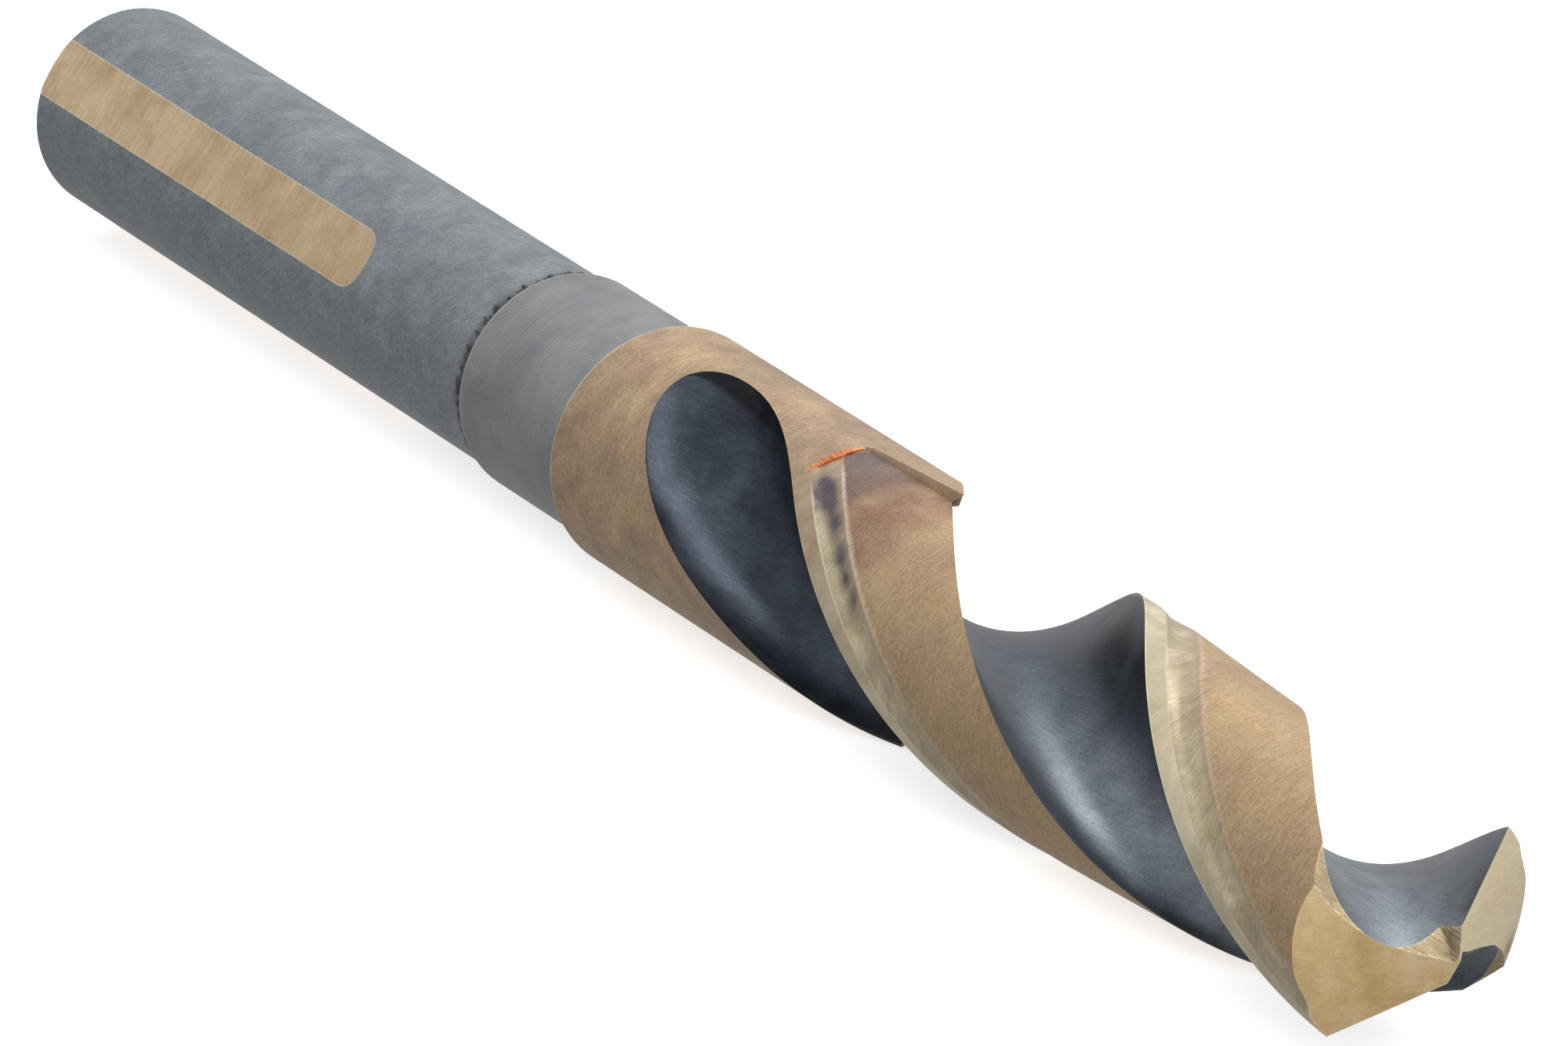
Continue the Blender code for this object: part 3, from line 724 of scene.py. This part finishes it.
def insideRing(points, ring):
    # even-odd rule: count the ring's edges that a line to the right of the point crosses
    x0, y0 = ring.T
    x1, y1 = np.roll(ring, -1, 0).T
    px, py = points[:, :1], points[:, 1:]
    crossing = (y0 > py) != (y1 > py)
    at = (x1 - x0) * (py - y0) / np.where(y1 == y0, 1e-12, y1 - y0) + x0
    return (crossing & (px < at)).sum(1) % 2 == 1


pointNet = dict(step=0.12, reach=7.4, search=0.02, clearance=0.05)


def ridgePoints(net):
    # points where the lowest surface changes: on lines of constant q, then of constant s, the change
    # is found by its number, then halved until it is exact
    found = []
    lines = np.arange(-net["reach"], net["reach"], net["step"] * 0.6)
    steps = np.arange(-net["reach"], net["reach"], net["search"])
    for swap in (False, True):
        order = -1 if swap else 1
        which = pointHeight(*np.meshgrid(steps, lines)[::order])[1]
        rows, cols = np.nonzero(which[:, 1:] != which[:, :-1])
        a, b = steps[cols], steps[cols + 1]
        fixed, kindA = lines[rows], which[rows, cols]
        for _ in range(12):
            m = 0.5 * (a + b)
            same = pointHeight(*(m, fixed)[::order])[1] == kindA
            a, b = np.where(same, m, a), np.where(same, b, m)
        found.append(np.stack((0.5 * (a + b), fixed)[::order], -1))
    points = np.concatenate(found)
    cells = np.round(points / (net["step"] * 0.55)).astype(int)
    return points[np.unique(cells, axis=0, return_index=True)[1]]


def groundPoint(net, ring, ringX):
    # the ground point inside the last row: a staggered net and the ridges' points, joined by a
    # Delaunay net. The row's own points keep their exact x.
    line = np.arange(-net["reach"], net["reach"], net["step"])
    across, along = np.meshgrid(line, line)
    across = across + (np.arange(len(across)) % 2)[:, None] * net["step"] / 2
    inner = np.stack([across.ravel(), along.ravel()], -1)
    ridges = ridgePoints(net)
    inner = np.concatenate([inner[nearest(inner, ridges) > 0.6 * net["step"]], ridges])
    inner = inner[insideRing(inner, ring) & (nearest(inner, ring) > net["clearance"])]
    flat = [tuple(p) for p in np.concatenate([ring, inner])]
    places, _, tris, source, _, _ = delaunay_2d_cdt(flat, [], [list(range(len(ring)))], 1, 1e-7, True)
    places = np.array([tuple(p) for p in places])
    height, which = pointHeight(*places.T)
    origin = np.array([first[0] if first else -1 for first in source])
    onRing = (origin >= 0) & (origin < len(ring))
    height[onRing] = ringX[origin[onRing]]
    tris = np.array([list(t) for t in tris])
    tris = tris[insideRing(places[tris].mean(1), ring)]
    whichFace = pointHeight(*places[tris].mean(1).T)[1]
    kinds = np.where(whichFace % 2 == 0, flankMat, gashMat)
    uv = places[tris] * np.where(whichFace < 2, 1.0, -1.0)[:, None, None]

    s, q = places.T
    deep = 0.577 * s - 0.817 * q  # how far into the first split from its wall
    fields = {
        # the point's outline and ridges drawn pale: a painted highlight with wear
        "rim": 0.5 * bell(nearest(places, ring), 0, 0.05) + 0.4 * bell(nearest(places, ridges), 0, 0.04),
        "olive": 0.9 * bell(s, 3.6, 0.9) * bell(q, -5.0, 0.8),
        # painted shade in the first split, near-black close to its wall
        "shade": 2.2 * (which == 1) * smooth((1.4 - deep) / 0.2),
        # painted light: the first side's flank drawn paler than the other
        "pale": 1.0 * (which < 2)}
    points = polar(height, np.hypot(s, q), np.arctan2(q, s) + lipTurn)
    return points, tris, uv.reshape(-1, 2), kinds, fields


def makeBody(f):
    # the side's grid and the ground point's net as one closed surface
    x, r, angle, sideUv, sideKinds, sideFields = bodySide(f)
    side = polar(x, r, angle).reshape(-1, 3)
    last = angle[-1, :-1] - lipTurn
    ring = np.stack([r[-1, :-1] * np.cos(last), r[-1, :-1] * np.sin(last)], -1)
    keep = np.concatenate([[True], np.hypot(*np.diff(ring, axis=0).T) > 1e-5])
    point, tris, pointUv, pointKinds, pointFields = groundPoint(pointNet, ring[keep], x[-1, :-1][keep])
    fields = {}
    for key in [*sideFields, "olive", "shade", "pale"]:
        fields[key] = np.concatenate([
            sideFields.get(key, np.zeros(len(side))), pointFields.get(key, np.zeros(len(point)))])
    return newPiece(
        "flutedBody", np.concatenate([side, point]), gridFaces(*x.shape) + (tris + len(side)).tolist(),
        bodyMats, np.concatenate([sideUv, pointUv]), 22,
        matIndex=np.concatenate([sideKinds, pointKinds]), attributes=fields, merge=0.002)


bodyPiece = makeBody(fluted)
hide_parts("fluted_body")


burr = dict(
    x=89.12, width=0.75, height=0.14, fromBehind=6.7, toBehind=40.0, count=170, seed=7, uvRadius=7.3,
    humpAt=(0, 0.08, 0.3, 0.55, 0.75, 1), hump=(0.05, 0.35, 0.8, 1.0, 0.45, 0.1))


def makeBurr(name, b, half):
    # a torn ridge along the relief wheel's line: height and width = a hump along the line times
    # smoothed noise, held inside the bar's square where the line comes near the top
    f, skin = fluted, fluted["radius"]
    rng = np.random.default_rng(b["seed"])
    t = np.linspace(0, 1, b["count"])
    hump = np.interp(t, b["humpAt"], b["hump"])
    rearNoise = np.convolve(rng.normal(size=b["count"] + 8), np.ones(5) / 5, "same")[4:-4]
    topNoise = np.convolve(rng.normal(size=b["count"] + 8), np.ones(3) / 3, "same")[4:-4]
    behind = b["fromBehind"] + (b["toBehind"] - b["fromBehind"]) * t
    turn = f["marginAtZero"] + f["turnPerMm"] * b["x"] - deg(behind)
    rear = b["x"] - b["width"] * hump * (0.35 + 0.25 * np.abs(rearNoise))
    front = b["x"] + 0.05 + b["width"] * hump * 0.5
    most = (skin - 0.002) / np.maximum(np.abs(np.cos(turn)), np.abs(np.sin(turn)))
    top = np.minimum(skin + 0.006 + b["height"] * hump * (0.75 + 0.5 * topNoise), most)
    low, flat = np.full_like(t, skin - 0.13), np.zeros_like(t)
    xs = np.stack([rear, rear, rear + 0.07, b["x"] + 0.01 + flat, front - 0.02, front, front, rear])
    rs = np.stack([low, skin + 0.002 + flat, 0.5 * (top + skin), top, 0.4 * top + 0.6 * (skin - 0.07),
                   skin - 0.09 + flat, low, low])
    # the burr's rear top edge drawn pale: a painted highlight with wear
    rim = np.array([0.0, 0.9, 0.25, 0.2, 0.0, 0.0, 0.0, 0.0])[:, None] + flat
    turn = np.broadcast_to(turn, xs.shape)
    newPiece(name, polar(xs, np.minimum(rs, most), turn + half).reshape(-1, 3), gridFaces(*xs.shape),
             [burrCopper], gridUv(xs, turn * b["uvRadius"]), 50, attributes={"rim": rim})


makeBurr("reliefBurr1", burr, 0.0)
makeBurr("reliefBurr2", burr, np.pi)


stageLook = dict(
    floor="#f6f6f5", floorGlow=0.62, floorRough=0.9, floorHalf=3.0, floorGap=0.00002,
    sky=[(0.25, 0.50), (0.50, 0.66), (0.85, 1.12)], skyStrength=1.0, aim=(0.09, 0.0, 0.0),
    lamps={"key": dict(watts=2.0, place=(0.03, 0.16, 0.55), width=0.40),
           "fill": dict(watts=0.7, place=(0.35, 0.30, 0.40), width=0.5)})


def makeFloor(look):
    # a pale floor just under the drill. The steel sees the studio and not the floor.
    half, low = look["floorHalf"], cadBox[0][2] - look["floorGap"]
    corners = [(-half, -half, low), (half, -half, low), (half, half, low), (-half, half, low)]
    mesh = bpy.data.meshes.new("floor")
    mesh.from_pydata(corners, [], [(0, 1, 2, 3)])
    floor = bpy.data.objects.new("floor", mesh)
    bpy.context.scene.collection.objects.link(floor)
    mat = bpy.data.materials.new("paleFloor")
    mat.use_nodes = True
    sockets = mat.node_tree.nodes["Principled BSDF"].inputs
    sockets["Base Color"].default_value = linearColour(look["floor"])
    sockets["Roughness"].default_value = look["floorRough"]
    sockets["Emission Color"].default_value = (1, 1, 1, 1)
    sockets["Emission Strength"].default_value = look["floorGlow"]
    mesh.materials.append(mat)
    floor.visible_diffuse = floor.visible_glossy = False


def makeSky(look):
    # a studio that is light overhead and dim below, by the height of the direction
    world = bpy.data.worlds.new("studio")
    world.use_nodes = True
    tree = world.node_tree
    direction = addNode(tree, "ShaderNodeTexCoord", {}, {})
    parts = addNode(tree, "ShaderNodeSeparateXYZ", {}, {0: direction.outputs["Generated"]})
    height = mapRange(tree, parts.outputs[2], (-1.0, 1.0), 0.0, 1.0)
    sky = addNode(tree, "ShaderNodeValToRGB", {"stops": look["sky"]}, {"Fac": height})
    tree.links.new(sky.outputs[0], tree.nodes["Background"].inputs["Color"])
    tree.nodes["Background"].inputs["Strength"].default_value = look["skyStrength"]
    bpy.context.scene.world = world


def makeLamps(look):
    # round soft lights that look at the middle of the drill: a large key above, a weaker fill beyond
    for name, lamp in look["lamps"].items():
        data = bpy.data.lights.new(name, "AREA")
        data.shape, data.size, data.energy = "DISK", lamp["width"], lamp["watts"]
        light = bpy.data.objects.new(name, data)
        bpy.context.scene.collection.objects.link(light)
        back = np.array(lamp["place"]) - np.array(look["aim"])
        back = back / np.linalg.norm(back)
        right = np.cross([0, 1, 0], back)
        right = right / np.linalg.norm(right)
        light.matrix_world = axesAt(right, np.cross(back, right), back, lamp["place"])


makeFloor(stageLook)
makeSky(stageLook)
makeLamps(stageLook)

camera = dict(
    place=(0.76020798, -0.40987457, 0.26254636), right=(0.49077238, 0.86720219, 0.08427831),
    up=(-0.31364231, 0.0855937, 0.94567554), forward=(-0.8128782, 0.49054468, -0.31399832),
    lens=342.465, sensor=36.0, clip=(0.01, 10.0))


def makeCamera(c):
    data = bpy.data.cameras.new("camera")
    data.lens, data.sensor_width = c["lens"], c["sensor"]
    data.clip_start, data.clip_end = c["clip"]
    cam = bpy.data.objects.new("camera", data)
    bpy.context.scene.collection.objects.link(cam)
    cam.matrix_world = axesAt(c["right"], c["up"], -np.array(c["forward"]), c["place"])
    bpy.context.scene.camera = cam


makeCamera(camera)
bpy.context.scene.view_settings.view_transform = "Standard"
print("stage and camera made")
